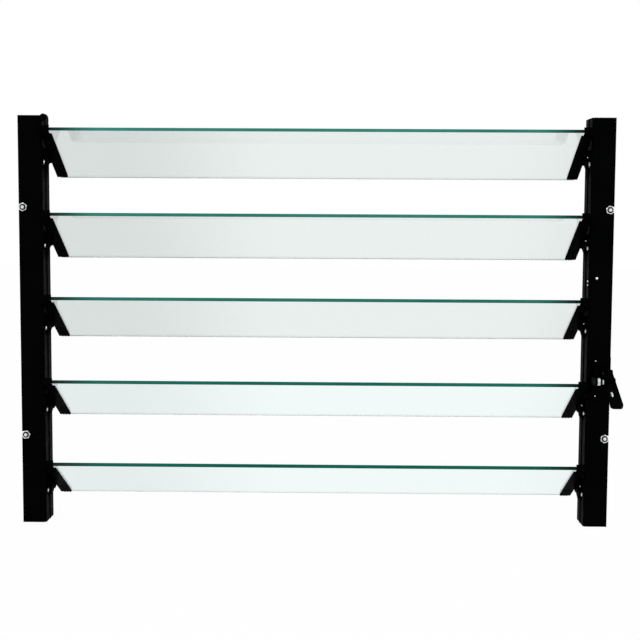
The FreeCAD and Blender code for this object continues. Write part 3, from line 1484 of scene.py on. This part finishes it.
@dataclass(frozen=True)
class Studio:
    """Pale floor, white surround and soft lamps.

    Attributes:
        floor_z: height of the floor.
        middle: the window's middle.
        floor_half: half the floor's side.
        floor_colour: the floor's paint.
        floor_roughness: its roughness.
        floor_shine: its specular level.
        floor_white: share of plain white that the lens sees of it, the rest being lit paint.
        surround: level of the world's even light on the object.
        lamps: the lamps.
    """

    floor_z: float
    middle: Vector
    floor_half: float = 12.0
    floor_colour: Colour = (0.86, 0.86, 0.86, 1.0)
    floor_roughness: float = 0.9
    floor_shine: float = 0.1
    floor_white: float = 0.98
    surround: float = 0.62
    lamps: tuple[Lamp, ...] = (
        Lamp("lamp_key", (-1.6, -2.2, 1.9), size=1.4, watts=26.0),
        Lamp("lamp_fill", (2.2, -1.8, 0.8), size=1.6, watts=12.0),
    )

    def floor_paint(self) -> Material:
        """Paint that the lens sees as nearly white, with the object's shadow kept.

        Returns:
            The material.
        """
        shader = Shader("floor_white")
        shader.constant(Base_Color=self.floor_colour, Roughness=self.floor_roughness)
        shader.constant(Specular_IOR_Level=self.floor_shine)
        share = shader.add("ShaderNodeMath", operation="MULTIPLY")
        share.inputs[1].default_value = self.floor_white
        glow = shader.add("ShaderNodeEmission")
        mix = shader.add("ShaderNodeMixShader")
        shader.link(seen_as_background(shader.tree), share.inputs[0])
        shader.link(share.outputs[0], mix.inputs["Fac"])
        shader.link(shader.body.outputs["BSDF"], mix.inputs[1])
        shader.link(glow.outputs["Emission"], mix.inputs[2])
        shader.link(mix.outputs["Shader"], shader.output.inputs["Surface"])
        return shader.material

    def floor(self) -> None:
        """Lay the floor: a level square round the window's middle."""
        signs = np.array([[-1, -1], [1, -1], [1, 1], [-1, 1]])
        corners = np.array(self.middle[:2]) + self.floor_half * signs
        points = np.column_stack([corners, np.full(len(corners), self.floor_z)])
        Surface(points, [[0, 1, 2, 3]]).piece("studio_floor", self.floor_paint())

    def world(self) -> None:
        """White to the lens and in reflections, and a plain even light elsewhere."""
        world = bpy.data.worlds.new("studio_world")
        world.use_nodes = True
        tree = world.node_tree
        back = tree.nodes["Background"]
        back.inputs["Color"].default_value = (1.0, 1.0, 1.0, 1.0)
        level = tree.nodes.new("ShaderNodeMapRange")
        level.inputs["To Min"].default_value = self.surround
        level.inputs["To Max"].default_value = 1.0
        tree.links.new(seen_as_background(tree), level.inputs["Value"])
        tree.links.new(level.outputs["Result"], back.inputs["Strength"])
        bpy.context.scene.world = world

    def build(self) -> None:
        """Set the floor, the surround and the lamps."""
        self.floor()
        self.world()
        for lamp in self.lamps:
            lamp.hang(self.middle)
        bpy.context.scene.view_settings.view_transform = "Standard"


@dataclass(frozen=True)
class RoomCamera:
    """Camera on the room side, at the angle of the photograph.

    Attributes:
        datum: the window's own origin.
        aside: camera's distance right of the middle.
        away: its distance from the flange face.
        up: its height over the window's mid-height.
        down_rad: how far it looks down.
        left_rad: how far it looks to the left.
        roll_rad: how far it leans.
        focal_px: focal length in pixels of the square frame.
        frame_px: the frame's side in pixels.
        sensor_mm: width of the film that stands for the frame.
        sight: how far it sees.
    """

    datum: Datum
    aside: float = 31.9 * MM
    away: float = 2003.9 * MM
    up: float = 170.0 * MM
    down_rad: float = 0.0819
    left_rad: float = 0.0118
    roll_rad: float = 0.0055
    focal_px: float = 1193.7
    frame_px: float = 640.0
    sensor_mm: float = 36.0
    sight: float = 60.0

    def build(self) -> None:
        """Make the camera and set it as the scene's own."""
        data = bpy.data.cameras.new("room_camera")
        data.sensor_width = self.sensor_mm
        data.lens = self.sensor_mm * self.focal_px / self.frame_px
        data.clip_end = self.sight
        made = bpy.data.objects.new("room_camera", data)
        bpy.context.scene.collection.objects.link(made)
        c_left, s_left = math.cos(self.left_rad), math.sin(self.left_rad)
        c_down, s_down = math.cos(self.down_rad), math.sin(self.down_rad)
        ahead = Vector((-s_left * c_down, c_left * c_down, -s_down))
        right = Vector((c_left, s_left, 0.0))
        above = right.cross(ahead)
        c, s = math.cos(self.roll_rad), math.sin(self.roll_rad)
        across, upward = right * c + above * s, above * c - right * s
        turn = Matrix((across, upward, -ahead)).transposed().to_4x4()
        place = Vector(self.datum.point(self.aside, -self.away, self.up))
        made.matrix_world = Matrix.Translation(place) @ turn
        bpy.context.scene.camera = made


def blade_frames(frame: dict, datum: Datum) -> tuple[BladeFrame, ...]:
    """Where the blades lie at rest, from their hinges.

    Args:
        frame: the loaded frame.
        datum: the window's own origin.

    Returns:
        The blades from the top down; a hinge's low limit is where its blade is level.
    """
    joints = {joint["name"]: joint for joint in frame["joints"]}
    made = []
    for number in range(1, BLADES + 1):
        joint = joints[f"blade_{number}_tilt"]
        pivot = np.array([datum.x, *joint["pos_m"][1:]])
        made.append(BladeFrame(number, pivot, math.radians(-joint["range_deg"][0])))
    return tuple(made)


def main() -> None:
    """Load the frame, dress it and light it."""
    logging.basicConfig(level=logging.INFO, format="%(name)s: %(message)s")
    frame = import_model()
    left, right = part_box("left_jamb"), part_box("right_jamb")
    datum = Datum((left[0].x + right[1].x) / 2, left[0].y)
    finishes = Finishes.make(datum.x)
    blades = blade_frames(frame, datum)
    Solids(frame, finishes).dress()
    GlassBlades(blades, finishes).build()
    JambBolts(datum, finishes).build()
    BladePins(blades, finishes).build()
    HandleRivets(datum, finishes).build()
    LeverCrank(datum, finishes).build()
    LeverInlay(datum, finishes).build()
    StopButton(datum, finishes).build()
    RoomCamera(datum).build()
    Studio(left[0].z, Vector((datum.x, datum.y, 0.0))).build()


if __name__ == "__main__":
    main()
